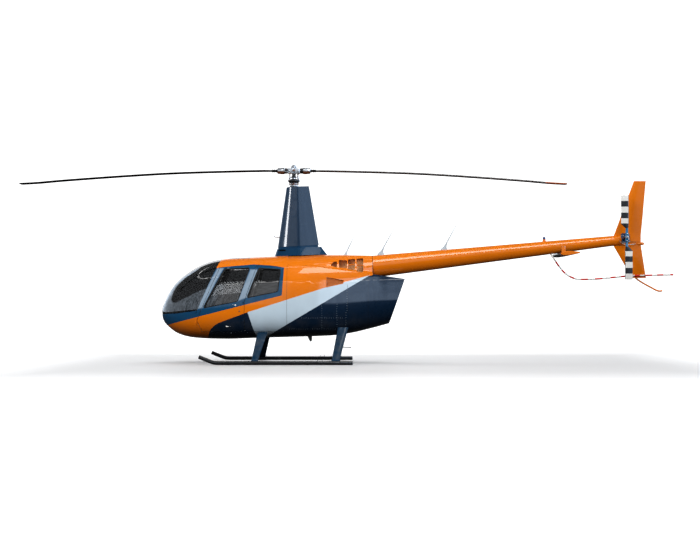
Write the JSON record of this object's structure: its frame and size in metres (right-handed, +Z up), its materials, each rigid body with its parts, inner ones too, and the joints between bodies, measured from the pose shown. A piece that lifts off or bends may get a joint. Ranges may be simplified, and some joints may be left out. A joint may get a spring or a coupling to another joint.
{
  "type": "light two-blade turbine helicopter on skids",
  "caption": "Light helicopter with a teetering main rotor on a tall faired mast, enclosed cabin with hinged doors, slim tail boom with tail rotor and guard, standing on skids.",
  "frame": {"origin": "middle of the bounding box at the ground under the skids", "axes": "+X towards the tail, +Y to starboard, +Z up"},
  "size_m": [11.8214, 2.346, 3.574],
  "materials": {
    "orange_paint": "gloss",
    "navy_paint": "gloss",
    "blue_paint": "gloss",
    "black_paint": "satin",
    "blade_paint": "satin",
    "tail_blade_paint": "satin",
    "guard_paint": "gloss",
    "antenna_plastic": "gloss",
    "lens_plastic": "gloss",
    "tinted_glass": "clear",
    "cabin_plastic": "matte",
    "seat_leather": "satin",
    "carpet": "matte",
    "hub_metal": "satin",
    "mast_steel": "satin",
    "gear_casing": "matte"
  },
  "bodies": {
    "airframe": {"cabin_shell": "orange_paint", "windshield_left": "tinted_glass", "windshield_right": "tinted_glass", "engine_bay_shell": "navy_paint", "upper_cowl": "orange_paint", "aft_cowl": "navy_paint", "mast_skirt": "blue_paint", "mast_fairing": "blue_paint", "pitot_tube": "hub_metal", "swashplate_lower": "gear_casing", "tail_cone": "orange_paint", "vertical_fin": "orange_paint", "horizontal_stabilizer": "orange_paint", "tail_gearbox": "blue_paint", "tail_rotor_guard": "guard_paint", "tail_skid": "orange_paint", "tail_light": "lens_plastic", "beacon": "lens_plastic", "antenna_1": "antenna_plastic", "antenna_2": "antenna_plastic", "antenna_3": "antenna_plastic", "belly_antenna": "antenna_plastic", "cabin_floor": "carpet", "instrument_console": "cabin_plastic", "cyclic_stick": "cabin_plastic", "front_seat_box": "cabin_plastic", "rear_seat_box": "cabin_plastic", "rear_cushion": "seat_leather", "rear_back": "seat_leather", "main_gearbox": "gear_casing", "engine_block": "gear_casing", "skid_left": "black_paint", "skid_right": "black_paint", "front_cushion_left": "seat_leather", "front_back_left": "seat_leather", "strut_front_left": "blue_paint", "strut_rear_left": "blue_paint", "front_cushion_right": "seat_leather", "front_back_right": "seat_leather", "strut_front_right": "blue_paint", "strut_rear_right": "blue_paint"},
    "main_rotor": {"rotor_mast": "mast_steel", "rotor_hub": "hub_metal", "rotor_blade_front": "blade_paint", "rotor_blade_rear": "blade_paint"},
    "tail_rotor": {"tail_rotor_hub": "hub_metal", "tail_blade_upper": "tail_blade_paint", "tail_blade_lower": "tail_blade_paint"},
    "door_front_left": {"door_front_left": "orange_paint", "window_front_left": "tinted_glass"},
    "door_rear_left": {"door_rear_left": "orange_paint", "window_rear_left": "tinted_glass"},
    "door_front_right": {"door_front_right": "orange_paint", "window_front_right": "tinted_glass"},
    "door_rear_right": {"door_rear_right": "orange_paint", "window_rear_right": "tinted_glass"}
  },
  "joints": [
    {"name": "main_rotor_spin", "type": "hinge", "parent": "airframe", "child": "main_rotor", "pos_m": [-0.9555, 0, 3.467], "axis": [0, 0, 1], "continuous": true},
    {"name": "tail_rotor_spin", "type": "hinge", "parent": "airframe", "child": "tail_rotor", "pos_m": [5.0125, -0.35, 2.247], "axis": [0, 1, 0], "continuous": true},
    {"name": "door_front_left_hinge", "type": "hinge", "parent": "airframe", "child": "door_front_left", "pos_m": [-2.6615, -0.684, 0.64], "axis": [0, 0, -1], "range_deg": [0, 75]},
    {"name": "door_rear_left_hinge", "type": "hinge", "parent": "airframe", "child": "door_rear_left", "pos_m": [-1.8135, -0.768, 0.64], "axis": [0, 0, -1], "range_deg": [0, 75]},
    {"name": "door_front_right_hinge", "type": "hinge", "parent": "airframe", "child": "door_front_right", "pos_m": [-2.6615, 0.684, 0.64], "axis": [0, 0, 1], "range_deg": [0, 75]},
    {"name": "door_rear_right_hinge", "type": "hinge", "parent": "airframe", "child": "door_rear_right", "pos_m": [-1.8135, 0.768, 0.64], "axis": [0, 0, 1], "range_deg": [0, 75]}
  ],
  "couplings": [
    {"joint": "tail_rotor_spin", "follows": "main_rotor_spin", "ratio": 5.95}
  ]
}
